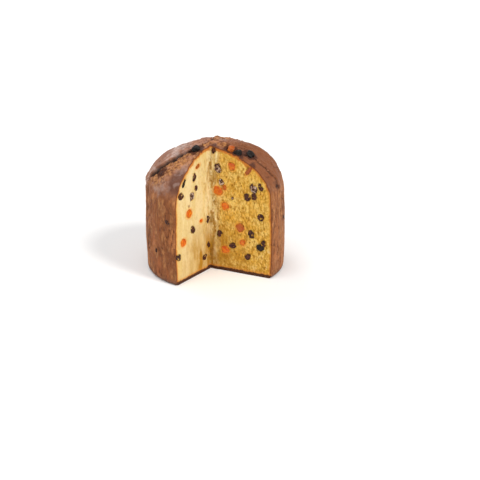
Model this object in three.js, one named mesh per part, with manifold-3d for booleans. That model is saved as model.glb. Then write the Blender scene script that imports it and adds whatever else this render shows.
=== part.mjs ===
// A tall, domed panettone that stands on its baked base, with one wedge cut out of its front.
//
// The loaf is baked in one piece, so it is one closed solid: a round outline turned about the loaf's
// upright axis, uneven as dough bakes, less the wedge that two straight knife cuts take away.
// Millimetres, +Z up. The origin is the middle of the round base. The cut opens towards -Y.

import * as THREE from "three";
import { mergeVertices } from "three/addons/utils/BufferGeometryUtils.js";
import Module from "manifold-3d";

// Driving dimensions of the loaf, in millimetres.
const LOAF_RADIUS = 84.5; // wall radius, from a baking mould 170 mm across
const LOAF_HEIGHT = 161; // base to the top of the dome
const WALL_HEIGHT = 96; // where the upright wall starts to lean into the dome
const BASE_ROUNDING = 4; // radius between the base and the wall
const WALL_FLARE = 0.8; // how much wider the wall is at its foot than at its top
const WALL_BELLY = 0.9; // how far the wall bows out at half its height
const SHOULDER_REACH = 1.55; // dome outline: higher keeps the shoulder out wider for longer
const CROWN_FULLNESS = 2.2; // dome outline: higher makes the crown flatter
const RIM_HEIGHT = 113; // where the dough rolled over the rim of its mould
const RIM_ROLL = 0.8; // how far that roll stands out, on average
const RIM_ROLL_SPREAD = 3.2; // half height of the roll
const RIM_ROLL_WAVES = 3; // how many times the roll swells and fades on its way around

// The removed wedge. Its two cuts meet short of the loaf's axis.
const CUT_APEX = new THREE.Vector2(-10, -15);
const CUT_ANGLE = THREE.MathUtils.degToRad(101);
const CUT_OVERSHOOT = 20; // how far the cutter runs past the loaf on every side

// How finely the crust is faceted.
const TURN_STEPS = 76;
const BASE_STEPS = 4;
const WALL_STEPS = 12;
const DOME_STEPS = 20;

// The slow swells of a hand-shaped loaf: [waves around, waves upwards, turn offset, height in mm].
const SWELLS = [
  [2, 0.4, 0.7, 0.75],
  [3, 1.1, 2.1, 0.6],
  [5, 1.7, 4.0, 0.45],
  [7, 2.6, 1.2, 0.3],
];
const WALL_SWELL_SHARE = 0.3; // the mould held the wall truer than the free dome

const bakery = {
  crust: new THREE.MeshStandardMaterial({ color: 0x8a5a3c, roughness: 0.85, metalness: 0 }),
};

// The loaf's outline from the middle of the base to the top of the dome, as [radius, height] points.
function crustOutline() {
  const points = [];
  const foot = LOAF_RADIUS + WALL_FLARE;
  for (let i = 0; i <= BASE_STEPS; i++) {
    const turn = (i / BASE_STEPS) * (Math.PI / 2);
    points.push([
      foot - BASE_ROUNDING + BASE_ROUNDING * Math.sin(turn),
      BASE_ROUNDING - BASE_ROUNDING * Math.cos(turn),
    ]);
  }
  for (let i = 1; i < WALL_STEPS; i++) {
    const share = i / WALL_STEPS;
    points.push([
      foot - WALL_FLARE * share + WALL_BELLY * Math.sin(Math.PI * share),
      THREE.MathUtils.lerp(BASE_ROUNDING, WALL_HEIGHT, share),
    ]);
  }
  for (let i = 0; i < DOME_STEPS; i++) {
    const turn = (i / DOME_STEPS) * (Math.PI / 2);
    points.push([
      LOAF_RADIUS * Math.cos(turn) ** (2 / SHOULDER_REACH),
      WALL_HEIGHT + (LOAF_HEIGHT - WALL_HEIGHT) * Math.sin(turn) ** (2 / CROWN_FULLNESS),
    ]);
  }
  return points;
}

// How far the rolled rim stands out of the outline at a turn about the axis and a height.
function rimRoll(turn, height) {
  const across = Math.exp(-(((height - RIM_HEIGHT) / RIM_ROLL_SPREAD) ** 2));
  return RIM_ROLL * across * (1 + Math.sin(RIM_ROLL_WAVES * turn));
}

// How far the crust swells outwards at a turn about the axis and a height. It is nothing at the base.
function swell(turn, height) {
  const share = height / LOAF_HEIGHT;
  const free = THREE.MathUtils.smoothstep(height, WALL_HEIGHT, RIM_HEIGHT);
  const fade =
    THREE.MathUtils.smoothstep(height, 0, WALL_HEIGHT / 2) *
    THREE.MathUtils.lerp(WALL_SWELL_SHARE, 1, free);
  return SWELLS.reduce(
    (sum, [around, upwards, offset, size]) =>
      sum + size * fade * Math.sin(around * turn + offset + upwards * share * Math.PI * 2),
    0,
  );
}

// The whole loaf before it is cut, as one closed geometry: rings of points between two poles.
function wholeLoaf() {
  const outline = crustOutline();
  const positions = [0, 0, 0];
  for (const [radius, height] of outline) {
    for (let i = 0; i < TURN_STEPS; i++) {
      const turn = (i / TURN_STEPS) * Math.PI * 2;
      const uneven = swell(turn, height) + rimRoll(turn, height);
      const reach = radius + (radius / LOAF_RADIUS) * uneven;
      positions.push(reach * Math.cos(turn), reach * Math.sin(turn), height);
    }
  }
  positions.push(0, 0, LOAF_HEIGHT);
  const ring = (row, i) => 1 + row * TURN_STEPS + (i % TURN_STEPS);
  const last = outline.length - 1;
  const top = positions.length / 3 - 1;
  const index = [];
  for (let i = 0; i < TURN_STEPS; i++) {
    index.push(0, ring(0, i + 1), ring(0, i));
    for (let row = 0; row < last; row++) {
      index.push(ring(row, i), ring(row, i + 1), ring(row + 1, i + 1));
      index.push(ring(row, i), ring(row + 1, i + 1), ring(row + 1, i));
    }
    index.push(ring(last, i), ring(last, i + 1), top);
  }
  return new THREE.BufferGeometry()
    .setAttribute("position", new THREE.Float32BufferAttribute(positions, 3))
    .setIndex(index);
}

// The wedge that the knife takes: a triangle on the table, from the apex to well past the loaf.
function wedgeCutter() {
  const reach = 2 * LOAF_RADIUS + CUT_OVERSHOOT;
  const side = reach * Math.tan(CUT_ANGLE / 2);
  const triangle = new THREE.Shape()
    .moveTo(CUT_APEX.x, CUT_APEX.y)
    .lineTo(CUT_APEX.x - side, CUT_APEX.y - reach)
    .lineTo(CUT_APEX.x + side, CUT_APEX.y - reach)
    .closePath();
  return new THREE.ExtrudeGeometry(triangle, {
    depth: LOAF_HEIGHT + 2 * CUT_OVERSHOOT,
    bevelEnabled: false,
  }).translate(0, 0, -CUT_OVERSHOOT);
}

// A geometry as a solid that can be cut.
function solidOf(wasm, geometry) {
  const bare = geometry.clone();
  bare.deleteAttribute("normal");
  bare.deleteAttribute("uv");
  const merged = mergeVertices(bare, 1e-4);
  return new wasm.Manifold(
    new wasm.Mesh({
      numProp: 3,
      vertProperties: merged.attributes.position.array,
      triVerts: new Uint32Array(merged.index.array),
    }),
  );
}

// A cut solid as a geometry again.
function geometryOf(solid) {
  const mesh = solid.getMesh();
  const geometry = new THREE.BufferGeometry()
    .setAttribute("position", new THREE.BufferAttribute(mesh.vertProperties, 3))
    .setIndex(new THREE.BufferAttribute(mesh.triVerts, 1));
  geometry.computeVertexNormals();
  return geometry;
}

const wasm = await Module();
wasm.setup();

const cutLoaf = solidOf(wasm, wholeLoaf()).subtract(solidOf(wasm, wedgeCutter()));
const loaf = new THREE.Mesh(geometryOf(cutLoaf), bakery.crust);
loaf.name = "loaf";

const panettone = new THREE.Group();
panettone.add(loaf);

export default panettone;
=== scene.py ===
"""A tall domed panettone with a wedge cut out of its front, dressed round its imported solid.

One closed mesh stands for the loaf: a crust swept round the cut and two sliced faces of crumb. Raisins
and candied orange are baked into it. All lengths are in metres, +Z up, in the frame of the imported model.
"""

import logging
import math
from dataclasses import dataclass
from enum import Enum
from typing import Any, Sequence

import bpy
import numpy as np
from mathutils import Matrix, Vector
from mathutils.geometry import delaunay_2d_cdt


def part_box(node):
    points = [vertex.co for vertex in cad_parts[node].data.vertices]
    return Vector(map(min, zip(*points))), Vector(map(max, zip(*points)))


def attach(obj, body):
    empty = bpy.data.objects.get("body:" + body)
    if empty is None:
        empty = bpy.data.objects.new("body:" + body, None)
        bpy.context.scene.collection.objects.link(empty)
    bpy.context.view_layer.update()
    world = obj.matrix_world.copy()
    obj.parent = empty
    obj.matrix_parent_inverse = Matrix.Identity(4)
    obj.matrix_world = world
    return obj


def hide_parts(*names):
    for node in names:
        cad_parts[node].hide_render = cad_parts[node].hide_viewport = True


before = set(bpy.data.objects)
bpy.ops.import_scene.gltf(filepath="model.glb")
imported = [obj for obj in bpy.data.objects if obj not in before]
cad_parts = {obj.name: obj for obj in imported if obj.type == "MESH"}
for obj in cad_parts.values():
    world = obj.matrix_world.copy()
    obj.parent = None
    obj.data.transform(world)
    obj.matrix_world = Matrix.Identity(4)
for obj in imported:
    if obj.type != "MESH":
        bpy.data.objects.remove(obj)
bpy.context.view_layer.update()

log = logging.getLogger("panettone")

MM = 0.001
LOAF_NODE = "loaf"
BODY = "root"
Colour = tuple[float, float, float]
Span = tuple[float, float]  # where an ease starts and where it ends
FruitRow = tuple[float, float, float, float, float, float]


# Node trees written as expressions


class Value:
    """A number that flows through a node tree, so that its maths reads as an expression."""

    def __init__(self, tree: "Nodes", socket: Any) -> None:
        """Wraps an output socket of a tree."""
        self.tree = tree
        self.socket = socket

    def maths(self, operation: str, *others: Any, first: Any = None) -> "Value":
        """Adds a Math node.

        Args:
            operation: the Math node's operation.
            others: the operands after this value, as values or numbers.
            first: an operand that comes before this value, for the reflected forms.

        Returns:
            The node's result.
        """
        operands = [self, *others] if first is None else [first, self, *others]
        return self.tree.value("ShaderNodeMath", dict(enumerate(operands)), operation=operation)

    def __add__(self, other: Any) -> "Value":
        """This value plus another."""
        return self.maths("ADD", other)

    __radd__ = __add__

    def __sub__(self, other: Any) -> "Value":
        """This value less another."""
        return self.maths("SUBTRACT", other)

    def __rsub__(self, other: Any) -> "Value":
        """A number less this value."""
        return self.maths("SUBTRACT", first=other)

    def __mul__(self, other: Any) -> "Value":
        """This value times another."""
        return self.maths("MULTIPLY", other)

    __rmul__ = __mul__

    def __truediv__(self, other: Any) -> "Value":
        """This value over another."""
        return self.maths("DIVIDE", other)

    def __abs__(self) -> "Value":
        """This value without its sign."""
        return self.maths("ABSOLUTE")

    def least(self, other: Any) -> "Value":
        """The smaller of this value and another."""
        return self.maths("MINIMUM", other)

    def most(self, other: Any) -> "Value":
        """The larger of this value and another."""
        return self.maths("MAXIMUM", other)

    def rise(self, low: float, high: float) -> "Value":
        """Eases from 0 to 1 as this value goes from low to high.

        Args:
            low: where the ease starts. It may be above high, for a fall.
            high: where the ease ends.

        Returns:
            The eased value.
        """
        sockets = {"Value": self, "From Min": low, "From Max": high}
        if low > high:
            sockets = {"Value": self, "From Min": high, "From Max": low, "To Min": 1.0, "To Max": 0.0}
        return self.tree.value("ShaderNodeMapRange", sockets, interpolation_type="SMOOTHSTEP")


@dataclass(frozen=True)
class Pattern:
    """A noise, by the length of its lumps, how many finer octaves it holds and how strong those are.

    A squeeze below 1 makes its lumps that much taller than they are wide. Where only its heights show, it
    is eased over a span.
    """

    size: float
    detail: float = 2.0
    rough: float = 0.5
    squeeze: float = 1.0
    ease: Span = (0.0, 1.0)


@dataclass(frozen=True)
class Bend:
    """How noise bends other patterns: the length of its lumps, and how far it moves them."""

    size: float
    reach: float


class Nodes:
    """Builds one node tree, of a material or of geometry nodes."""

    def __init__(self, tree: bpy.types.NodeTree) -> None:
        """Keeps the tree that nodes are added to."""
        self.tree = tree

    def add(self, kind: str, sockets: dict[Any, Any] | None = None, **settings: Any) -> bpy.types.Node:
        """Adds a node.

        Args:
            kind: the node's type.
            sockets: values, links or numbers for its inputs, by name or place.
            settings: the node's own settings, set before its sockets.

        Returns:
            The node.
        """
        node = self.tree.nodes.new(kind)
        for name, setting in settings.items():
            setattr(node, name, setting)
        for key, given in (sockets or {}).items():
            self.put(node.inputs[key], given)
        return node

    def put(self, socket: bpy.types.NodeSocket, given: Any) -> None:
        """Links or sets one input.

        Args:
            socket: the input.
            given: a value, an output socket, a number, or three of them.
        """
        if isinstance(given, Value):
            self.tree.links.new(given.socket, socket)
        elif isinstance(given, bpy.types.NodeSocket):
            self.tree.links.new(given, socket)
        elif socket.type == "RGBA" and not isinstance(given, (int, float)):
            socket.default_value = (*given[:3], 1.0)
        else:
            socket.default_value = given

    def value(self, kind: str, sockets: dict[Any, Any] | None = None, out: Any = 0, **settings: Any) -> Value:
        """Adds a node and wraps one of its outputs, the first unless out says another."""
        return Value(self, self.add(kind, sockets, **settings).outputs[out])

    def vector(self, operation: str, *operands: Any, **more: Any) -> bpy.types.NodeSocket:
        """Adds a Vector Math node and gives its vector."""
        sockets = dict(enumerate(operands)) | more
        return self.add("ShaderNodeVectorMath", sockets, operation=operation).outputs[0]

    def scaled(self, vector: Any, factor: Any) -> bpy.types.NodeSocket:
        """A vector times a number."""
        return self.vector("SCALE", vector, Scale=factor)

    def dot(self, one: Any, other: Any) -> Value:
        """The dot product of two vectors."""
        return self.value("ShaderNodeVectorMath", {0: one, 1: other}, "Value", operation="DOT_PRODUCT")

    def squeezed(self, place: Any, share: float) -> bpy.types.NodeSocket:
        """A place with its height cut to a share, so that patterns read there stand tall."""
        return self.vector("MULTIPLY", place, (1, 1, share))

    def noise(self, place: Any, pattern: Pattern) -> Value:
        """Noise from 0 to 1, about a half on average.

        Args:
            place: where it is read, in metres.
            pattern: its size and kind.

        Returns:
            The noise.
        """
        if pattern.squeeze != 1.0:
            place = self.squeezed(place, pattern.squeeze)
        sockets = {"Vector": place, "Scale": 1 / pattern.size, "Detail": pattern.detail,
                   "Roughness": pattern.rough}
        return self.value("ShaderNodeTexNoise", sockets)

    def eased(self, place: Any, pattern: Pattern) -> Value:
        """A pattern's noise, eased over its span."""
        return self.noise(place, pattern).rise(*pattern.ease)

    def coats(self, colour: Any, *coats: tuple[Any, Any]) -> bpy.types.NodeSocket:
        """Lays coats of colour over a colour.

        Args:
            colour: the first colour.
            coats: how much there is of each coat, and its colour, from the lowest up.

        Returns:
            The colour on top.
        """
        for share, coat in coats:
            colour = self.blend(share, colour, coat)
        return colour

    def sway(self, place: Any, pattern: Pattern) -> Value:
        """Noise that swings about nought, by a half at most."""
        return self.noise(place, pattern) - 0.5

    def lines(self, place: Any, pattern: Pattern, width: float) -> Value:
        """1 along the lines where a noise passes its middle, easing to 0 over a width beside them."""
        return abs(self.sway(place, pattern)).rise(width, 0.0)

    def bent(self, given: Any, place: Any, bend: Bend) -> bpy.types.NodeSocket:
        """Moves a vector about by noise, to bend the patterns read there.

        Args:
            given: the vector.
            place: where the noise is read, in metres.
            bend: how it bends.

        Returns:
            The moved vector.
        """
        cloud = self.add("ShaderNodeTexNoise", {"Vector": place, "Scale": 1 / bend.size, "Detail": 2.0})
        sway = self.vector("SUBTRACT", cloud.outputs["Color"], (0.5, 0.5, 0.5))
        return self.vector("ADD", given, self.scaled(sway, bend.reach))

    def cells(self, place: Any, size: float) -> Value:
        """The distance to the middle of the nearest cell of a Voronoi pattern, as a share of a cell."""
        return self.value("ShaderNodeTexVoronoi", {"Vector": place, "Scale": 1 / size}, "Distance")

    def blend(self, factor: Any, low: Any, high: Any) -> bpy.types.NodeSocket:
        """Mixes two colours.

        Args:
            factor: how much of the second there is.
            low: the first colour.
            high: the second colour.

        Returns:
            The mixed colour.
        """
        node = self.add("ShaderNodeMix", data_type="RGBA")
        places = [node.inputs["Factor"], *[s for s in node.inputs if s.type == "RGBA"]]
        for socket, given in zip(places, (factor, low, high), strict=True):
            self.put(socket, given)
        return next(s for s in node.outputs if s.type == "RGBA")


def show(thing: bpy.types.Object) -> None:
    """Puts an object into the scene."""
    bpy.context.scene.collection.objects.link(thing)


class GeometryTree(Nodes):
    """A geometry node tree with named sizes, which runs once on a mesh and leaves a plain mesh."""

    def __init__(self, name: str, sizes: dict[str, float], seed: int = 0) -> None:
        """Makes the tree and its inputs.

        Args:
            name: the tree's name.
            sizes: the named size inputs with their values.
            seed: what every random choice in the tree starts from.
        """
        super().__init__(bpy.data.node_groups.new(name, "GeometryNodeTree"))
        face = self.tree.interface
        face.new_socket("Geometry", in_out="INPUT", socket_type="NodeSocketGeometry")
        face.new_socket("Geometry", in_out="OUTPUT", socket_type="NodeSocketGeometry")
        self.given: dict[str, Any] = {}
        self.sockets: dict[str, str] = {}
        for label, size in {**sizes, "Seed": seed}.items():
            kind = "NodeSocketInt" if label == "Seed" else "NodeSocketFloat"
            self.sockets[label] = face.new_socket(label, in_out="INPUT", socket_type=kind).identifier
            self.given[label] = size
        self.start = self.add("NodeGroupInput")
        self.mesh = self.start.outputs["Geometry"]
        self.place = self.add("GeometryNodeInputPosition").outputs[0]

    def size(self, label: str) -> Value:
        """A named size input."""
        return Value(self, self.start.outputs[label])

    def named(self, name: str, kind: str = "FLOAT") -> Any:
        """Reads a named attribute: a value, or a vector's socket."""
        node = self.add("GeometryNodeInputNamedAttribute", {"Name": name}, data_type=kind)
        return Value(self, node.outputs[0]) if kind == "FLOAT" else node.outputs[0]

    def store(self, name: str, given: Any) -> None:
        """Keeps a value on the mesh's points as a named attribute.

        Args:
            name: the attribute's name.
            given: the value.
        """
        sockets = {"Geometry": self.mesh, "Name": name, "Value": given}
        node = self.add("GeometryNodeStoreNamedAttribute", sockets, data_type="FLOAT", domain="POINT")
        self.mesh = node.outputs[0]

    def move(self, offset: Any) -> None:
        """Moves the mesh's points by an offset."""
        sockets = {"Geometry": self.mesh, "Offset": offset}
        self.mesh = self.add("GeometryNodeSetPosition", sockets).outputs[0]

    def dress(self, material: bpy.types.Material, chosen: Any = True) -> None:
        """Realizes what is instanced and sets a material on the chosen faces.

        Args:
            material: the material.
            chosen: which faces take it, all of them unless said.
        """
        solid = self.add("GeometryNodeRealizeInstances", {"Geometry": self.mesh}).outputs[0]
        sockets = {"Geometry": solid, "Selection": chosen}
        node = self.add("GeometryNodeSetMaterial", sockets)
        node.inputs["Material"].default_value = material
        self.mesh = node.outputs[0]

    def run(self, mesh: bpy.types.Mesh, name: str) -> bpy.types.Object:
        """Runs the finished tree on a mesh.

        Args:
            mesh: the mesh that it starts from.
            name: the new object's name.

        Returns:
            An object with the resulting plain mesh and no modifier.
        """
        end = self.add("NodeGroupOutput")
        self.tree.links.new(self.mesh, end.inputs[0])
        rough = bpy.data.objects.new(name + ".rough", mesh)
        show(rough)
        modifier = rough.modifiers.new("shape", "NODES")
        modifier.node_group = self.tree
        for label, size in self.given.items():
            modifier[self.sockets[label]] = size
        evaluated = rough.evaluated_get(bpy.context.evaluated_depsgraph_get())
        made = bpy.data.meshes.new_from_object(evaluated)
        rough.modifiers.remove(modifier)
        bpy.data.objects.remove(rough)
        while made.materials and made.materials[0] is None:
            made.materials.pop(index=0)
        made.name = name
        piece = bpy.data.objects.new(name, made)
        show(piece)
        return piece


# Shapes that the loaf follows


def smooth(values: np.ndarray, low: float, high: float) -> np.ndarray:
    """Eases an array from 0 to 1 as it goes from low to high."""
    share = np.clip((values - low) / (high - low), 0, 1)
    return share * share * (3 - 2 * share)


@dataclass(frozen=True)
class Outline:
    """The loaf before it is cut: an outline turned about its axis, with the slow swells of baked dough."""

    radius: float
    height: float
    wall_height: float = 96 * MM
    base_rounding: float = 4 * MM
    flare: float = 0.8 * MM
    belly: float = 0.9 * MM
    shoulder: float = 1.55
    crown: float = 2.2
    rim_height: float = 113 * MM
    rim_roll: float = 1.1 * MM
    rim_spread: float = 2.6 * MM
    rim_waves: int = 3
    swells: tuple[tuple[float, float, float, float], ...] = (
        (2, 0.4, 0.7, 0.75 * MM),
        (3, 1.1, 2.1, 0.6 * MM),
        (5, 1.7, 4.0, 0.45 * MM),
        (7, 2.6, 1.2, 0.3 * MM),
    )
    wall_swell_share: float = 0.3
    # How far above the wall and above the rim the rises start and are whole.
    rise_margins: Span = (6 * MM, 10 * MM)
    # Broad rises of the dome: place in plan, reach, and height.
    rises: tuple[tuple[float, float, float, float], ...] = (
        (60 * MM, 14 * MM, 26 * MM, 3.2 * MM),
        (-52 * MM, 16 * MM, 24 * MM, 1.8 * MM),
        (-12 * MM, 22 * MM, 18 * MM, -1.6 * MM),
        (24 * MM, 18 * MM, 14 * MM, -1.2 * MM),
    )

    @classmethod
    def from_box(cls, low: Vector, high: Vector) -> "Outline":
        """Takes the loaf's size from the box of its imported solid.

        Args:
            low: the box's lowest corner.
            high: its highest corner.

        Returns:
            The outline, with the swells that stand out of it taken off its radius.
        """
        swelling = 1.6 * MM
        return cls(radius=(high.x - low.x) / 2 - swelling, height=high.z)

    @property
    def foot(self) -> float:
        """The wall's radius at its foot."""
        return self.radius + self.flare

    def dome(self, radius: np.ndarray) -> np.ndarray:
        """The height of the dome at a distance from the loaf's axis."""
        out = np.clip(radius / self.radius, 0, 1) ** self.shoulder
        return self.wall_height + (self.height - self.wall_height) * (1 - out) ** (1 / self.crown)

    def wall(self, height: np.ndarray) -> np.ndarray:
        """The radius of the upright wall at a height."""
        share = (height - self.base_rounding) / (self.wall_height - self.base_rounding)
        return self.foot - self.flare * share + self.belly * np.sin(np.pi * share)

    def unevenness(self, turn: np.ndarray, height: np.ndarray) -> np.ndarray:
        """How far the crust stands out of the plain outline.

        Args:
            turn: angles about the axis.
            height: heights.

        Returns:
            Distances outwards.
        """
        free = smooth(height, self.wall_height, self.rim_height)
        fade = smooth(height, 0, self.wall_height / 2)
        fade = fade * (self.wall_swell_share + (1 - self.wall_swell_share) * free)
        out = np.zeros_like(turn)
        for around, upwards, offset, size in self.swells:
            share = height / self.height
            out += size * fade * np.sin(around * turn + offset + upwards * share * 2 * np.pi)
        across = np.exp(-(((height - self.rim_height) / self.rim_spread) ** 2))
        return out + self.rim_roll * across * (1 + np.sin(self.rim_waves * turn))

    def swollen(self, points: np.ndarray) -> np.ndarray:
        """Moves points of the plain outline out to where the dough swelled to.

        Args:
            points: places on the plain outline.

        Returns:
            The moved places.
        """
        turn = np.arctan2(points[..., 1], points[..., 0])
        reach = np.hypot(points[..., 0], points[..., 1])
        grown = 1 + self.unevenness(turn, points[..., 2]) / self.radius
        away = np.where(reach > 1e-9, grown, 1.0)
        moved = points * np.stack([away, away, np.ones_like(away)], -1)
        start, whole = self.rise_margins
        free = smooth(points[..., 2], self.wall_height + start, self.rim_height + whole)
        for x, y, spread, size in self.rises:
            near = np.exp(-((points[..., 0] - x) ** 2 + (points[..., 1] - y) ** 2) / spread**2)
            lean = reach / self.radius
            moved = moved + (free * near * size)[..., None] * np.stack(
                [lean * np.cos(turn), lean * np.sin(turn), np.sqrt(np.clip(1 - lean**2, 0.05, 1))], -1)
        return moved


class Side(Enum):
    """The two cut faces, as the cut is faced."""

    LEFT = -1
    RIGHT = 1


@dataclass(frozen=True)
class WedgeCut:
    """The two upright knife cuts, which meet short of the loaf's axis and open towards -Y."""

    apex: tuple[float, float] = (-10 * MM, -15 * MM)
    angle: float = math.radians(101)
    crowding: float = 0.045

    def along(self, side: Side) -> np.ndarray:
        """The level direction from the apex out along a cut face."""
        return np.array([side.value * math.sin(self.angle / 2), -math.cos(self.angle / 2), 0.0])

    def facing(self, side: Side) -> np.ndarray:
        """The direction that a cut face looks in."""
        out = self.along(side)
        return np.array([side.value * out[1], -side.value * out[0], 0.0])

    def place(self, side: Side, along: float, height: float) -> np.ndarray:
        """A point on a cut face, by its distance from the apex and its height."""
        return np.array([*self.apex, 0.0]) + self.along(side) * along + np.array([0, 0, height])

    def sweep(self, columns: int) -> np.ndarray:
        """The level directions that the crust is swept through, from the right face round to the left.

        Args:
            columns: how many there are.

        Returns:
            Unit directions, one a row, closer together near the cuts.
        """
        start = math.atan2(self.along(Side.RIGHT)[1], self.along(Side.RIGHT)[0])
        whole = 2 * math.pi - self.angle
        share = np.linspace(0, 1, columns)
        share = share - self.crowding * np.sin(2 * np.pi * share)
        turn = start + whole * share
        return np.stack([np.cos(turn), np.sin(turn), np.zeros_like(turn)], -1)


@dataclass(frozen=True)
class Crack:
    """A crack in the dome, by the places in plan that it runs through."""

    route: tuple[tuple[float, float], ...]
    opening: float
    torn_width: float
    raised: float
    start: Span = (0.0, 0.08)
    end: Span = (0.9, 1.0)

    def offsets(self, points: np.ndarray) -> tuple[np.ndarray, np.ndarray]:
        """How far points lie from the crack in plan.

        Args:
            points: places, one a row.

        Returns:
            Signed distances, above zero on the torn side, and how far along the crack the nearest
            place lies, from 0 to 1, with values past the ends kept at them.
        """
        nodes = np.array(self.route)
        best = np.full(len(points), 1e9)
        side = np.ones(len(points))
        reach = np.zeros(len(points))
        spans = len(nodes) - 1
        for i in range(spans):
            start, step = nodes[i], nodes[i + 1] - nodes[i]
            share = np.clip(((points[:, :2] - start) @ step) / (step @ step), 0, 1)
            gap = points[:, :2] - (start + share[:, None] * step)
            far = np.hypot(gap[:, 0], gap[:, 1])
            nearer = far < best
            turn = step[0] * gap[:, 1] - step[1] * gap[:, 0]
            side = np.where(nearer, np.where(turn > 0, -1.0, 1.0), side)
            reach = np.where(nearer, (i + share) / spans, reach)
            best = np.minimum(best, far)
        return best * side, reach


# The cracks: the places in plan that each runs through, how wide it opens, how far the crust beside it is
# torn, and how far its other side is raised, all in mm.
CRACKS = tuple(
    Crack(tuple((x * MM, y * MM) for x, y in route), opening * MM, torn * MM, raised * MM)
    for route, opening, torn, raised in (
        (((-82, 4), (-76, -1), (-70, -6), (-61, -9), (-52, -14), (-40, -13), (-31, -17), (-22, -12)),
         3.6, 30, 2.3),
        (((-24, -13), (-10, -5), (2, -7), (13, -18), (27, -22)), 1.1, 11, 1.1),
        (((26, -32), (36, -35), (46, -41), (57, -47), (68, -53)), 0.8, 0.5, 0.8),
        (((-6, -6), (2, 12), (-3, 24), (6, 39), (3, 52), (10, 68)), 1.4, 11, 1.4),
        (((2, 12), (17, 16), (30, 27), (45, 29), (60, 40)), 0.9, 7, 0.9),
    )
)


# Fruit, and where it lies


class Fruit(Enum):
    """The fruit baked into the dough."""

    RAISIN = "raisin"
    ORANGE = "candied_orange"


@dataclass(frozen=True)
class FruitPlace:
    """One piece of fruit: its middle, the way it shows, its size, turn and tone.

    What stands out further than the height sliced, from its middle, is cut off.
    """

    kind: Fruit
    centre: tuple[float, float, float]
    outward: tuple[float, float, float]
    size: tuple[float, float, float]
    spin: float
    sliced: float
    tone: float


def upright_frame(outward: np.ndarray, spin: float) -> np.ndarray:
    """Axes for a piece of fruit: across, upwards and outwards, turned by a spin about the outward one.

    Args:
        outward: the unit direction that the fruit shows in.
        spin: the turn in radians.

    Returns:
        The three unit axes as the columns of a matrix.
    """
    guide = np.array([0.0, 0.0, 1.0]) if abs(outward[2]) < 0.95 else np.array([0.0, 1.0, 0.0])
    across = np.cross(guide, outward)
    across /= np.linalg.norm(across)
    upwards = np.cross(outward, across)
    cosine, sine = math.cos(spin), math.sin(spin)
    return np.stack([cosine * across + sine * upwards, cosine * upwards - sine * across, outward], 1)


def drawn(chance: np.random.Generator, span: Span) -> float:
    """A number drawn at random from a span."""
    return float(chance.uniform(*span))


def of_kind(places: Sequence[FruitPlace], kind: Fruit) -> list[FruitPlace]:
    """Those of some places that hold one kind of fruit."""
    return [place for place in places if place.kind is kind]


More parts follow.
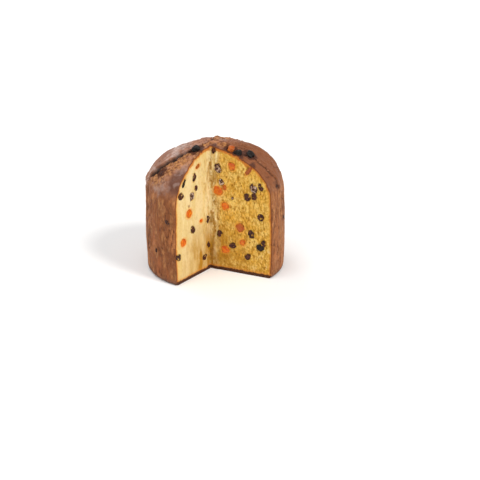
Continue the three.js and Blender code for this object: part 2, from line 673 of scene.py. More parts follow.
@dataclass
class Filling:
    """Where all the fruit lies: on the two cut faces as listed, and over the crust."""

    outline: Outline
    cut: WedgeCut
    seed: int = 12
    hidden_on_dome: int = 5
    hidden_on_wall: int = 10

    # By side: distance from the apex, height, width, tallness, turn in degrees and tone. Lengths in mm.
    raisins: tuple[tuple[Side, tuple[FruitRow, ...]], ...] = (
        (Side.LEFT, (
            (49, 125, 4, 11, -32, 0.8), (30, 126, 6, 11, -12, 0.2), (27, 112, 6, 6, 20, 0.2),
            (56, 110, 9, 8, 35, 0.3), (35, 104, 8, 10, 0, 0.1), (35, 62, 8, 10, 15, 0.3),
            (5, 66, 6, 9, 0, 0.3), (63, 35, 10, 8, -20, 0.6), (12, 19, 8, 7, 40, 0.4),
            (4, 32, 5, 8, 0, 0.4), (41, 93, 3, 3, 0, 0.1),
        )),
        (Side.RIGHT, (
            (11, 131, 9, 13, 25, 0.1), (15, 114, 7, 8, 0, 0.0), (57, 112, 9, 12, 20, 0.1),
            (66, 115, 5, 10, 25, 0.2), (49, 100, 9, 9, 0, 0.3), (58, 102, 8, 8, 30, 0.3),
            (67, 77, 8, 8, -30, 0.2), (55, 54, 8, 11, 20, 0.2), (66, 38, 9, 9, -25, 0.8),
            (71, 45, 6, 9, 10, 0.3), (5, 153, 6, 8, 0, 0.2), (30, 96, 3, 3, 0, 0.1),
            (30, 35, 9, 7, 15, 0.3), (12, 48, 6, 8, -10, 0.2), (50, 24, 8, 8, 0, 0.3),
        )),
    )
    oranges: tuple[tuple[Side, tuple[FruitRow, ...]], ...] = (
        (Side.LEFT, (
            (41, 84, 10, 10, 30, 0.1), (53, 51, 9, 9, 8, 0.1), (18, 68, 5, 4, 0, 0.0),
            (23, 138, 7, 4, 20, 0.7),
        )),
        (Side.RIGHT, (
            (29, 136, 8, 10, 10, 0.25), (11, 103, 12, 11, -12, 0.2), (19, 108, 5, 6, 20, 0.5),
            (20, 85, 9, 9, 30, 0.1), (51, 133, 5, 12, -35, 0.8), (40, 60, 10, 11, 40, 0.6),
            (20, 28, 10, 9, 15, 0.1), (43, 41, 7, 7, -20, 0.2),
        )),
    )
    # Places in plan of the burnt raisins that stand proud of the dome, with their width, in mm.
    dome_raisins: tuple[tuple[float, float, float], ...] = (
        (-26, -17, 10.5),
        (20, -33, 10),
        (36, -30, 11),
    )
    # The same for raisins torn open and sunk in the crust.
    dome_pits: tuple[tuple[float, float, float], ...] = ((-69, -18, 8), (64, 22, 8))
    dome_oranges: tuple[tuple[float, float, float], ...] = ((13, -27, 9), (6, 62, 8))
    # Turns in degrees about the axis, from +X, and heights in mm, of raisins just under the wall's skin.
    wall_raisins: tuple[tuple[float, float], ...] = ((-29, 69), (-40, 112), (-145, 78), (-160, 38))
    # What the fruit at the back is drawn from: turns in radians, heights and widths in mm, and reaches as
    # shares of the radius.
    wall_turns: Span = (0.2, 2.5)
    wall_heights: Span = (14, 96)
    wall_widths: Span = (6, 9)
    dome_turns: Span = (0.5, 2.2)
    dome_reaches: Span = (0.35, 0.8)
    dome_widths: Span = (8, 11)
    # How far the middle of whole fruit lies below the crust, as a share of its width.
    proud: float = -0.08
    torn_open: float = 0.26
    under_wall: float = 0.24
    under_dome: float = 0.2
    # The height and depth of whole fruit, as shares of its width.
    flattened: Span = (0.45, 0.42)
    # Above the wall the shoulder turns in by the first over a height of the second.
    turned_in: Span = (4 * MM, 16 * MM)
    # Sliced fruit: its depth as a share of its width and height, how much of that its middle lies below
    # the crumb, and how far it stands out of it in mm.
    depth_share: float = 0.34
    buried_share: float = 0.2
    raisin_stands: float = 0.5
    orange_stands: float = 0.3

    def sunk(self, kind: Fruit, spot: np.ndarray, outward: np.ndarray, wide: float, sink: float,
             tone: float, chance: np.random.Generator) -> FruitPlace:
        """Whole fruit in the crust, turned at random and sunk so that only part of it stands out.

        Args:
            kind: the fruit.
            spot: the place on the crust.
            outward: the crust's direction there.
            wide: its width.
            sink: how far its middle lies below the crust, as a share of the width.
            tone: how dark it is baked.
            chance: what its turn is drawn from.

        Returns:
            The piece's place.
        """
        spin = drawn(chance, (0, 3))
        size = (wide / 2, wide * self.flattened[0], wide * self.flattened[1])
        return FruitPlace(kind, tuple(spot - outward * wide * sink), tuple(outward), size, spin, wide, tone)

    def on_faces(self) -> list[FruitPlace]:
        """The fruit that the knife went through.

        Returns:
            Its places, raisins first.
        """
        places = []
        for kind, table, stands in (
            (Fruit.RAISIN, self.raisins, self.raisin_stands * MM),
            (Fruit.ORANGE, self.oranges, self.orange_stands * MM),
        ):
            for side, rows in table:
                outward = self.cut.facing(side)
                for along, height, wide, tall, turn, tone in rows:
                    flat = self.cut.place(side, along * MM, height * MM)
                    deep = self.depth_share * (wide + tall) * MM
                    below = self.buried_share * deep
                    size = (wide / 2 * MM, tall / 2 * MM, deep)
                    places.append(FruitPlace(kind, tuple(flat - outward * below), tuple(outward), size,
                                             math.radians(turn), below + stands, tone))
        return places

    def on_crust(self) -> list[FruitPlace]:
        """The fruit that lies in the crust, listed in front and at random behind.

        Returns:
            Its places: on the dome, torn open in it, in the wall, then at the back of the dome.
        """
        chance = np.random.default_rng(self.seed)
        places = []
        for kind, rows, sink, tone in (
            (Fruit.RAISIN, self.dome_raisins, self.proud, 1.0),
            (Fruit.ORANGE, self.dome_oranges, self.proud, 0.6),
            (Fruit.RAISIN, self.dome_pits, self.torn_open, 0.5),
        ):
            for x, y, wide in rows:
                spot, outward = self.dome_spot(x * MM, y * MM)
                places.append(self.sunk(kind, spot, outward, wide * MM, sink, tone, chance))
        turns = [(math.radians(turn), height * MM) for turn, height in self.wall_raisins]
        turns += [(drawn(chance, self.wall_turns), drawn(chance, self.wall_heights) * MM)
                  for _ in range(self.hidden_on_wall)]
        for turn, height in turns:
            spot, outward = self.wall_spot(turn, height)
            wide = drawn(chance, self.wall_widths) * MM
            places.append(self.sunk(Fruit.RAISIN, spot, outward, wide, self.under_wall, 0.6, chance))
        for _ in range(self.hidden_on_dome):
            turn = drawn(chance, self.dome_turns)
            reach = self.outline.radius * drawn(chance, self.dome_reaches)
            spot, outward = self.dome_spot(reach * math.cos(turn), reach * math.sin(turn))
            wide = drawn(chance, self.dome_widths) * MM
            places.append(self.sunk(Fruit.RAISIN, spot, outward, wide, self.under_dome, 0.9, chance))
        return places

    def dome_spot(self, x: float, y: float) -> tuple[np.ndarray, np.ndarray]:
        """Finds the dome over a place in plan.

        Args:
            x: the place's distance to the right of the axis.
            y: its distance behind the axis.

        Returns:
            The point of the dome, and its outward direction.
        """
        step = 0.5 * MM
        reach = math.hypot(x, y)
        heights = self.outline.dome(np.array([reach - step, reach, reach + step]))
        fall = (heights[2] - heights[0]) / (2 * step)
        outward = np.array([-fall * x / reach, -fall * y / reach, 1.0])
        spot = self.outline.swollen(np.array([[x, y, heights[1]]]))[0]
        return spot, outward / np.linalg.norm(outward)

    def wall_spot(self, turn: float, height: float) -> tuple[np.ndarray, np.ndarray]:
        """Finds the wall at a turn and a height.

        Args:
            turn: the turn about the axis in radians.
            height: the height. Just above the wall, the point follows the start of the shoulder.

        Returns:
            The point of the wall, and its outward direction.
        """
        wall_height = self.outline.wall_height
        radius = self.outline.wall(np.array(min(height, wall_height)))
        if height > wall_height:
            radius = radius - self.turned_in[0] * (height - wall_height) / self.turned_in[1]
        outward = np.array([math.cos(turn), math.sin(turn), 0.0])
        flat = np.array([[outward[0] * radius, outward[1] * radius, height]])
        return self.outline.swollen(flat)[0], outward

    def all(self) -> list[FruitPlace]:
        """Every piece of fruit that shows."""
        return self.on_faces() + self.on_crust()


def fruit_gaps(points: np.ndarray, places: Sequence[FruitPlace]) -> np.ndarray:
    """How far each point lies outside the nearest piece of fruit.

    Args:
        points: the points, one a row.
        places: the fruit.

    Returns:
        Distances, below zero inside the fruit.
    """
    nearest = np.full(len(points), 1.0)
    for place in places:
        axes = upright_frame(np.array(place.outward), place.spin)
        size = np.array(place.size)
        inside = np.linalg.norm(((points - np.array(place.centre)) @ axes) / size, axis=1)
        nearest = np.minimum(nearest, (inside - 1) * float(size.mean()))
    return nearest


# The loaf


def keep(mesh: bpy.types.Mesh, name: str, values: np.ndarray, domain: str = "POINT") -> None:
    """Stores an attribute on a mesh.

    Args:
        mesh: the mesh.
        name: the attribute's name.
        values: one number, or three, for each point or face.
        domain: whether it is kept on points or faces.
    """
    kind, key = ("FLOAT", "value") if values.ndim == 1 else ("FLOAT_VECTOR", "vector")
    made = mesh.attributes.new(name, kind, domain)
    made.data.foreach_set(key, values.astype(np.float32).ravel())


def gaps_to(points: np.ndarray, line: np.ndarray) -> np.ndarray:
    """How far each point lies from the nearest point of a line.

    Args:
        points: the points, one a row.
        line: the line's points.

    Returns:
        The distances.
    """
    parts = np.array_split(points, 40)
    return np.concatenate([np.linalg.norm(part[:, None] - line[None], axis=-1).min(1) for part in parts])


def places_of(mesh: bpy.types.Mesh) -> np.ndarray:
    """Reads a mesh's points.

    Args:
        mesh: the mesh.

    Returns:
        Its points, one a row.
    """
    points = np.empty(len(mesh.vertices) * 3, np.float32)
    mesh.vertices.foreach_get("co", points)
    return points.reshape(-1, 3).astype(float)


@dataclass
class Loaf:
    """The panettone itself: crust and crumb as one closed mesh."""

    outline: Outline
    cut: WedgeCut
    filling: Filling
    columns: int = 322
    rows: int = 172
    base_rows: int = 14
    crumb_step: float = 0.86 * MM
    cracks: tuple[Crack, ...] = CRACKS
    skin_spot: tuple[float, float] = (-56 * MM, -47 * MM)
    skin_width: float = 12 * MM
    skin_fade: Span = (0.6, 1.25)
    torn_fade: float = 0.55
    skin_heights: Span = (107 * MM, 118 * MM)
    torn_heights: Span = (110 * MM, 120 * MM)
    stain_reach: float = 4.2 * MM
    # How finely the outline is walked along before its points are spaced evenly.
    dome_samples: int = 600
    dome_crowding: float = 2.5
    wall_samples: int = 160
    rounding_samples: int = 14
    # Points of the crumb: how far they stray from a plain grid and how near the rim they come, in steps.
    stray: float = 0.16
    rim_gap: float = 0.55
    seed: int = 5

    def meridians(self) -> np.ndarray:
        """Lines down the crust from the top of the cut's apex to the edge of the base.

        Returns:
            Points by column and row, evenly spaced down each column.
        """
        way = self.cut.sweep(self.columns)[:, None, :2]
        apex = np.array(self.cut.apex)
        towards = (way @ apex)[..., 0][:, None]

        def reach(radius: np.ndarray) -> np.ndarray:
            """How far from the apex each direction meets a circle about the loaf's axis."""
            return -towards + np.sqrt(towards**2 - apex @ apex + radius[None, :] ** 2)

        outline = self.outline
        out = 1 - np.linspace(1, 0, self.dome_samples) ** self.dome_crowding
        level = reach(np.array([outline.radius])) * out[None, :]
        from_axis = np.linalg.norm(apex + level[..., None] * way, axis=-1)
        tops = outline.dome(from_axis)
        heights = np.linspace(outline.wall_height, outline.base_rounding, self.wall_samples)[1:]
        turn = np.linspace(np.pi / 2, 0, self.rounding_samples)[1:]
        rounding = outline.base_rounding
        radii = np.concatenate([outline.wall(heights), outline.foot - rounding + rounding * np.sin(turn)])
        heights = np.concatenate([heights, rounding - rounding * np.cos(turn)])
        level = np.concatenate([level, reach(radii)], 1)
        heights = np.concatenate([tops, np.broadcast_to(heights, (self.columns, len(heights)))], 1)
        dense = np.concatenate([apex + level[..., None] * way, heights[..., None]], -1)
        dense = outline.swollen(dense)
        walked = np.linalg.norm(np.diff(dense, axis=1), axis=-1).cumsum(1)
        walked = np.concatenate([np.zeros((self.columns, 1)), walked], 1)
        lines = np.empty((self.columns, self.rows, 3))
        for i in range(self.columns):
            stops = np.linspace(0, walked[i, -1], self.rows)
            for axis in range(3):
                lines[i, :, axis] = np.interp(stops, walked[i], dense[i, :, axis])
        lines[:, -1, 2] = 0
        return lines

    def crust_grid(self) -> tuple[np.ndarray, list[tuple[int, ...]], np.ndarray]:
        """The crust and the base as a sheet that is open along the two cuts.

        Returns:
            Its points, its faces, and by column and row the number of each point.
        """
        lines = self.meridians()
        lines[:, 0] = lines[:, 0].mean(0)
        foot = np.array([*self.cut.apex, 0.0])
        share = np.linspace(0, 1, self.base_rows + 1)[1:]
        under = lines[:, -1:] + (foot - lines[:, -1:]) * share[None, :, None]
        sheet = np.concatenate([lines, under], 1)
        inner = sheet[:, 1:-1]
        points = np.concatenate([sheet[:1, 0], foot[None], inner.reshape(-1, 3)])
        numbers = np.arange(inner.shape[0] * inner.shape[1]).reshape(inner.shape[:2]) + 2
        top = np.zeros((self.columns, 1), int)
        numbers = np.concatenate([top, numbers, top + 1], 1)
        faces = []
        for i in range(self.columns - 1):
            for j in range(numbers.shape[1] - 1):
                ring = (numbers[i, j], numbers[i, j + 1], numbers[i + 1, j + 1], numbers[i + 1, j])
                faces.append(tuple(int(n) for n in dict.fromkeys(ring)))
        return points, faces, numbers

    def crack_values(self, points: np.ndarray) -> dict[str, np.ndarray]:
        """What the cracks and the smooth dark skin make of each point of the crust.

        Args:
            points: the points.

        Returns:
            Attributes by name: the gap to the nearest crack, how wide and how raised it is there, and
            how torn or smooth the crust is.
        """
        gap = np.full(len(points), 1.0)
        opening, raised, torn = (np.zeros(len(points)) for _ in range(3))
        for crack in self.cracks:
            offset, reach = crack.offsets(points)
            ends = smooth(reach, *crack.start) * (1 - smooth(reach, *crack.end))
            nearer = np.abs(offset) < np.abs(gap)
            gap = np.where(nearer, offset, gap)
            opening = np.where(nearer, crack.opening * ends, opening)
            raised = np.where(nearer, crack.raised * ends, raised)
            band = (1 - smooth(offset / crack.torn_width, self.torn_fade, 1)) * (offset > 0)
            torn = np.maximum(torn, band * ends)
        away = np.hypot(points[:, 0] - self.skin_spot[0], points[:, 1] - self.skin_spot[1])
        skin = 1 - smooth(away / self.skin_width, *self.skin_fade)
        skin = skin * smooth(points[:, 2], *self.skin_heights)
        torn = torn * (1 - skin) * smooth(points[:, 2], *self.torn_heights)
        return {"crack_gap": gap, "crack_width": opening, "crack_raise": raised, "torn": torn, "skin": skin}

    def pushes(self, mesh: bpy.types.Mesh, edges: dict[Side, np.ndarray]) -> np.ndarray:
        """The direction that relief moves each crust point in.

        Args:
            mesh: the crust.
            edges: by side, the numbers of the points along that cut.

        Returns:
            Directions, kept in the plane of the cut along its edge.
        """
        ways = np.empty(len(mesh.vertices) * 3, np.float32)
        mesh.vertices.foreach_get("normal", ways)
        ways = ways.reshape(-1, 3).astype(float)
        for side, line in edges.items():
            facing = self.cut.facing(side)
            ways[line] -= (ways[line] @ facing)[:, None] * facing
        ways[0] = (0, 0, 1)
        ways[1] = (0, 0, 0)
        return ways

    def crust(self) -> tuple[bpy.types.Mesh, np.ndarray]:
        """The crust sheet with its relief.

        Returns:
            The mesh, and the number of each point by column and row.
        """
        points, faces, numbers = self.crust_grid()
        mesh = bpy.data.meshes.new("crust_sheet")
        mesh.from_pydata(points.tolist(), [], faces)
        edges = {Side.RIGHT: numbers[0, 1:-1], Side.LEFT: numbers[-1, 1:-1]}
        keep(mesh, "push", self.pushes(mesh, edges))
        for name, values in self.crack_values(points).items():
            keep(mesh, name, values)
        keep(mesh, "fruit_gap", fruit_gaps(points, self.filling.on_crust()))
        sheet = CrustRelief().tree(CrustFinish().material()).run(mesh, "crust_sheet")
        relieved = sheet.data
        bpy.data.objects.remove(sheet)
        return relieved, numbers

    def face_points(self, side: Side, border: np.ndarray) -> tuple[np.ndarray, list[tuple[int, ...]]]:
        """Fills one cut face with evenly spread points.

        Args:
            side: which face.
            border: its closed outline in order, as distances from the apex line and heights.

        Returns:
            The new points inside, and triangles that number the outline first and then those.
        """
        step = self.crumb_step
        chance = np.random.default_rng(side.value + self.seed)
        high, wide = border.max(0)[::-1] + step
        ups = np.arange(step / 2, high, step * math.sqrt(3) / 2)
        grid = []
        for row, up in enumerate(ups):
            outs = np.arange(step * (0.5 + 0.5 * (row % 2)), wide, step)
            grid.append(np.stack([outs, np.full(len(outs), up)], 1))
        spots = np.concatenate(grid)
        spots += chance.uniform(-self.stray, self.stray, spots.shape) * step
        gaps = gaps_to(spots, border)
        ahead = np.roll(border, -1, 0)
        crossed = np.zeros(len(spots), bool)
        for (x0, y0), (x1, y1) in zip(border, ahead, strict=True):
            if y0 != y1:
                spans = (spots[:, 1] >= min(y0, y1)) & (spots[:, 1] < max(y0, y1))
                meets = x0 + (spots[:, 1] - y0) / (y1 - y0) * (x1 - x0)
                crossed ^= spans & (spots[:, 0] < meets)
        spots = spots[crossed & (gaps > self.rim_gap * step)]
        everything = np.concatenate([border, spots]) / MM
        count = len(border)
        rim = [(i, (i + 1) % count) for i in range(count)]
        made = delaunay_2d_cdt([Vector(p) for p in everything], rim, [], 1, 1e-5)
        names = [first[0] for first in made[3]]
        return spots, [tuple(names[n] for n in corners) for corners in made[2]]

    def dense(self, line: np.ndarray) -> np.ndarray:
        """Walks along a line in short steps.

        Args:
            line: its points, one a row.

        Returns:
            Points that lie so close together that none is far from the next.
        """
        walked = np.concatenate([[0], np.linalg.norm(np.diff(line, axis=0), axis=1).cumsum()])
        stops = np.arange(0, walked[-1], 0.5 * self.crumb_step)
        return np.stack([np.interp(stops, walked, line[:, axis]) for axis in (0, 1)], 1)

    def whole(self) -> bpy.types.Mesh:
        """Closes the crust with the two cut faces.

        Returns:
            The mesh with the attributes that the crumb's relief and finish read.
        """
        crust, numbers = self.crust()
        points = places_of(crust)
        faces = [tuple(face.vertices) for face in crust.polygons]
        crust_faces = len(faces)
        top, bottom = points[0], points[1]
        steps = round((top[2] - bottom[2]) / self.crumb_step)
        spine = bottom + (top - bottom) * np.linspace(0, 1, steps + 1)[1:-1, None]
        crust_points = len(points)
        spine_numbers = crust_points + np.arange(len(spine))
        blocks = [points, spine]
        total = crust_points + len(spine)
        depth = [np.zeros(crust_points), np.minimum(top[2] - spine[:, 2], spine[:, 2])]
        ways = [np.zeros((crust_points, 3)), np.tile((0.0, -1.0, 0.0), (len(spine), 1))]
        pressed_and_lit = [np.zeros(crust_points), np.full(len(spine), 0.5)]
        apart = [np.zeros(total)]
        foot = np.array([*self.cut.apex, 0.0])
        for side, column in ((Side.RIGHT, 0), (Side.LEFT, -1)):
            along, facing = self.cut.along(side), self.cut.facing(side)
            line = numbers[column]
            points[line] -= ((points[line] - foot) @ facing)[:, None] * facing
            ring = np.concatenate([line, spine_numbers])
            places = np.concatenate([points, spine])[ring]
            border = np.stack([(places - foot) @ along, places[:, 2]], 1)
            spots, triangles = self.face_points(side, border)
            inner = foot + spots[:, :1] * along + spots[:, 1:] * np.array([0, 0, 1.0])
            names = np.concatenate([ring, total + np.arange(len(spots))])
            total += len(spots)
            blocks.append(inner)
            depth.append(gaps_to(spots, self.dense(border[: len(line)])))
            apart.append(spots[:, 0])
            ways.append(np.tile(facing, (len(spots), 1)))
            # 1 on the left face: the knife pressed it smooth, and its finish paints it paler as the lit face.
            pressed_and_lit.append(np.full(len(spots), float(side is Side.LEFT)))
            if side is Side.LEFT:
                triangles = [corners[::-1] for corners in triangles]
            faces += [tuple(int(names[n]) for n in corners) for corners in triangles]
        everything = np.concatenate(blocks)
        mesh = bpy.data.meshes.new(LOAF_NODE)
        mesh.from_pydata(everything.tolist(), [], faces)
        for name in ("torn", "skin", "groove", "crack", "lift"):
            values = np.empty(crust_points, np.float32)
            crust.attributes[name].data.foreach_get("value", values)
            keep(mesh, name, np.concatenate([values, np.zeros(total - crust_points)]))
        for name, parts in (("push", ways), ("depth", depth), ("apart", apart), ("pressed_and_lit", pressed_and_lit)):
            keep(mesh, name, np.concatenate(parts))
        keep(mesh, "fruit_gap", fruit_gaps(everything, self.filling.all()))
        oranges = of_kind(self.filling.all(), Fruit.ORANGE)
        keep(mesh, "stain", 1 - smooth(fruit_gaps(everything, oranges), 0, self.stain_reach))
        sliced = np.zeros(len(faces))
        sliced[crust_faces:] = 1
        keep(mesh, "sliced", sliced, "FACE")
        mesh.shade_smooth()
        self.sharpen(mesh, sliced)
        return mesh

    def sharpen(self, mesh: bpy.types.Mesh, sliced: np.ndarray) -> None:
        """Marks the edges between crust and crumb as sharp.

        Args:
            mesh: the closed mesh.
            sliced: by face, 1 for crumb and 0 for crust.
        """
        kinds: dict[tuple[int, int], set[float]] = {}
        border = {n for face, cut in zip(mesh.polygons, sliced, strict=True) if cut for n in face.vertices}
        for face, cut in zip(mesh.polygons, sliced, strict=True):
            if not border.isdisjoint(face.vertices):
                for key in face.edge_keys:
                    kinds.setdefault(key, set()).add(float(cut))
        marks = [len(kinds.get(tuple(sorted(edge.vertices)), ())) == 2 for edge in mesh.edges]
        made = mesh.attributes.get("sharp_edge") or mesh.attributes.new("sharp_edge", "BOOLEAN", "EDGE")
        made.data.foreach_set("value", marks)

    def build(self) -> bpy.types.Object:
        """Makes the loaf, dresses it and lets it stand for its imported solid.

        Returns:
            The finished piece.
        """
        relief = CrumbRelief().tree(CrustFinish().material(), CrumbFinish().material())
        piece = relief.run(self.whole(), "baked_loaf")
        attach(piece, BODY)
        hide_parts(LOAF_NODE)
        return piece


@dataclass(frozen=True)
class CrustRelief:
    """The crust's own shape: lumps on the dome, creases and slits down the wall, and torn cracks."""

    lump_height: float = 2.1 * MM
    pucker_height: float = 0.9 * MM
    crease_depth: float = 0.9 * MM
    slit_depth: float = 1.2 * MM
    flake_height: float = 2.4 * MM
    crack_depth: float = 5.0 * MM
    crown_height: float = 1.5 * MM
    fold_depth: float = 1.1 * MM
    dimple_depth: float = 0.9 * MM
    crack_swing: float = 10 * MM
    rag_swing: float = 7 * MM
    least_crack: float = 0.05 * MM
    bend: Bend = Bend(16 * MM, 5 * MM)
    broad_lumps: Pattern = Pattern(24 * MM, 1.0)
    small_lumps: Pattern = Pattern(10 * MM, 1.0)
    crown_lumps: Pattern = Pattern(7 * MM, 3.0, 0.6)
    puckers: Pattern = Pattern(4.6 * MM, 3.0, 0.6)
    calm: Pattern = Pattern(34 * MM, 1.0, ease=(0.42, 0.6))
    creases: Pattern = Pattern(6.5 * MM, 2.5)
    folds: Pattern = Pattern(22 * MM, 2.0, 0.45)
    fold_breaks: Pattern = Pattern(11 * MM, 2.0, ease=(0.45, 0.6))
    crown_folds: Pattern = Pattern(10 * MM, 2.0, 0.55)
    slits: Pattern = Pattern(3.8 * MM, 1.0, squeeze=0.34, ease=(0.63, 0.71))
    ridges: Pattern = Pattern(5.2 * MM, 4.0, 0.62)
    crack_sway: Pattern = Pattern(11 * MM, 2.0)
    crack_rags: Pattern = Pattern(4.2 * MM, 3.0, 0.6)
    seed: int = 3
    dome_rise: Span = (98 * MM, 120 * MM)
    foot_rise: Span = (0.4 * MM, 7 * MM)
    crown_rise: Span = (142 * MM, 152 * MM)
    rugged_rise: Span = (138 * MM, 154 * MM)
    lip_edge: Span = (0.6 * MM, -0.4 * MM)
    lip_back: Span = (-15 * MM, -1.5 * MM)
    dip_start: Span = (0.0, 2.0 * MM)
    dip_end: Span = (20 * MM, 4 * MM)
    dimple_rim: Span = (2.2 * MM, 0.2 * MM)
    dimple_floor: Span = (-3 * MM, -0.4 * MM)
    crack_start: Span = (0.1 * MM, 0.6 * MM)

    def tree(self, crust: bpy.types.Material) -> GeometryTree:
        """Makes the relief as a tree that moves the crust and keeps what its finish needs.

        Args:
            crust: the crust's material.

        Returns:
            The tree.
        """
        tree = GeometryTree("crust relief", {
            "Lump height": self.lump_height, "Pucker height": self.pucker_height,
            "Crease depth": self.crease_depth, "Slit depth": self.slit_depth,
            "Flake height": self.flake_height, "Crack depth": self.crack_depth,
        }, self.seed)
        place = tree.vector("ADD", tree.place, tree.scaled((0.37, 0.11, 0.2273), tree.size("Seed")))
        height = tree.dot(tree.place, (0, 0, 1))
        dome = height.rise(*self.dome_rise)
        wall = 1 - dome
        torn = tree.named("torn")
        smooth_skin = tree.named("skin")
        flat = height.rise(*self.foot_rise)
        upright = tree.squeezed(place, 0.18)
        bent = tree.bent(upright, place, self.bend)

        lumps = tree.sway(place, self.broad_lumps) * 2
        lumps = lumps + tree.sway(place, self.small_lumps) * 0.9
        lumps = lumps * tree.size("Lump height") * dome
        rugged = height.rise(*self.rugged_rise) * self.crown_height
        lumps = lumps + tree.sway(place, self.crown_lumps) * 2 * rugged
        bare = 1 - smooth_skin * 0.8
        puckers = tree.sway(bent, self.puckers) * 2 * tree.size("Pucker height") * bare
        calm = tree.eased(place, self.calm) * 0.7 + 0.3
        crease = tree.lines(bent, self.creases, 0.03) * calm * wall
        dome_crease = tree.lines(place, self.folds, 0.03) * dome * bare * (1 - torn)
        dome_crease = dome_crease * tree.eased(place, self.fold_breaks)
        crown = height.rise(*self.crown_rise) * (1 - torn * 0.4)
        crown_crease = tree.lines(place, self.crown_folds, 0.035) * crown
        dome_crease = dome_crease.most(crown_crease)
        slit = tree.eased(place, self.slits)
        slit = slit * (wall * 0.8 + 0.2) * calm
        ridges = abs(tree.sway(place, self.ridges)) * 2
        flakes = (0.35 - ridges) * 2 * tree.size("Flake height") * torn

        gap = tree.named("crack_gap")
        width = tree.named("crack_width")
        raised = tree.named("crack_raise")
        ragged = gap + tree.sway(place, self.crack_sway) * self.crack_swing
        ragged = ragged + tree.sway(place, self.crack_rags) * self.rag_swing
        across = abs(ragged) / width.most(self.least_crack)
        crack = across.rise(1.15, 0.55) * width.rise(*self.crack_start)
        behind = ragged.rise(*self.lip_edge) * ragged.rise(*self.lip_back)
        before = ragged.rise(*self.dip_start) * ragged.rise(*self.dip_end)
        lip = raised * behind - raised * 0.35 * before

        socket = tree.named("fruit_gap")
        dimple = socket.rise(*self.dimple_rim) * socket.rise(*self.dimple_floor) * dome
        rough = lumps + puckers + flakes + lip
        rough = rough - crease * tree.size("Crease depth") - dome_crease * self.fold_depth
        rough = rough - slit * tree.size("Slit depth") - crack * tree.size("Crack depth")
        rough = rough - dimple * self.dimple_depth
        # The finish paints shade into the grooves, the crack and the low places that these keep.
        tree.store("groove", crease.most(slit).most(dome_crease * 0.7).least(1.0))
        tree.store("crack", crack)
        tree.store("lift", rough / MM)
        tree.move(tree.scaled(tree.named("push", "FLOAT_VECTOR"), rough * flat))
        tree.dress(crust)
        return tree


@dataclass(frozen=True)
class CrumbRelief:
    """The cut faces' own shape: bubbles, grain, and strands that tore along the inner edge of the cut."""

    bubble_depth: float = 1.3 * MM
    pore_depth: float = 0.6 * MM
    grain_height: float = 0.65 * MM
    strand_height: float = 2.2 * MM
    pleat_height: float = 2.6 * MM
    ring_depth: float = 1.3 * MM
    edge_swing: float = 20 * MM
    bubble_size: float = 3.4 * MM
    hole_size: float = 9 * MM
    bend: Bend = Bend(4 * MM, 2.2 * MM)
    strand_bend: Bend = Bend(14 * MM, 6 * MM)
    bubble_patches: Pattern = Pattern(7 * MM, 1.0, ease=(0.42, 0.6))
    hole_edges: Pattern = Pattern(5 * MM, 2.0)
    pores: Pattern = Pattern(1.9 * MM, 1.5, ease=(0.54, 0.68))
    grain: Pattern = Pattern(2.6 * MM, 3.0, 0.6)
    near_edge: Pattern = Pattern(16 * MM, 1.0)
    strands: Pattern = Pattern(3.4 * MM, 3.0, 0.6)
    pleats: Pattern = Pattern(9 * MM, 1.0, squeeze=0.3)
    ring_breaks: Pattern = Pattern(4 * MM, 1.0, ease=(0.4, 0.62))
    seed: int = 5
    rim_depth: Span = (0.2 * MM, 1.6 * MM)
    strand_reach: Span = (20 * MM, 5 * MM)
    fruit_clearance: Span = (-0.6 * MM, 3 * MM)
    fruit_ring: Span = (1.0 * MM, 0.1 * MM)

    def tree(self, crust: bpy.types.Material, crumb: bpy.types.Material) -> GeometryTree:
        """Makes the relief as a tree that also dresses the loaf.

        Args:
            crust: the crust's material.
            crumb: the material of the cut faces.

        Returns:
            The tree.
        """
        tree = GeometryTree("crumb relief", {
            "Bubble depth": self.bubble_depth, "Pore depth": self.pore_depth,
            "Grain height": self.grain_height, "Strand height": self.strand_height,
        }, self.seed)
        place = tree.vector("ADD", tree.place, tree.scaled((0.19, 0.31, 0.0684), tree.size("Seed")))
        apart, depth = tree.named("apart"), tree.named("depth")
        open_crumb = 1 - tree.named("pressed_and_lit") * 0.72
        inside = depth.rise(*self.rim_depth)
        tall = tree.squeezed(place, 0.62)
        bent = tree.bent(tall, place, self.bend)

        some = tree.eased(place, self.bubble_patches)
        bubble = tree.cells(bent, self.bubble_size).rise(0.42, 0.12) * some
        wide = tree.cells(bent, self.hole_size) + tree.sway(place, self.hole_edges) * 0.5
        bubble = bubble.most(wide.rise(0.22, 0.1))
        pore = tree.eased(bent, self.pores)
        grain = tree.sway(place, self.grain) * 2
        fruit_gap = tree.named("fruit_gap")
        clear = fruit_gap.rise(*self.fruit_clearance)
        near = (apart + tree.sway(place, self.near_edge) * self.edge_swing).rise(*self.strand_reach) * clear
        pulled = tree.bent(tree.squeezed(place, 0.17), place, self.strand_bend)
        strand = tree.sway(pulled, self.strands) * 3
        pleats = tree.sway(place, self.pleats) * 2
        ring = fruit_gap.rise(*self.fruit_ring) * tree.eased(place, self.ring_breaks)

        rough = grain * tree.size("Grain height") * (open_crumb * 0.85 + 0.15)
        rough = rough - bubble * tree.size("Bubble depth") * open_crumb
        rough = rough - pore * tree.size("Pore depth") * open_crumb
        rough = rough + strand * tree.size("Strand height") * near * (open_crumb * 0.6 + 0.4)
        rough = rough + pleats * near * self.pleat_height - ring * self.ring_depth
        # The finish paints shade and light from these.
        tree.store("bubble", (bubble * open_crumb).most(pore * (open_crumb * 0.7 + 0.12)).least(1.0))
        tree.store("strand", strand * near)
        tree.store("rise", rough / MM)
        tree.move(tree.scaled(tree.named("push", "FLOAT_VECTOR"), rough * inside))
        tree.dress(crust)
        tree.dress(crumb, tree.named("sliced").rise(0.4, 0.6))
        return tree


# Finishes

PATTERN_START = 8 * MM  # the height that the finishes' patterns start from


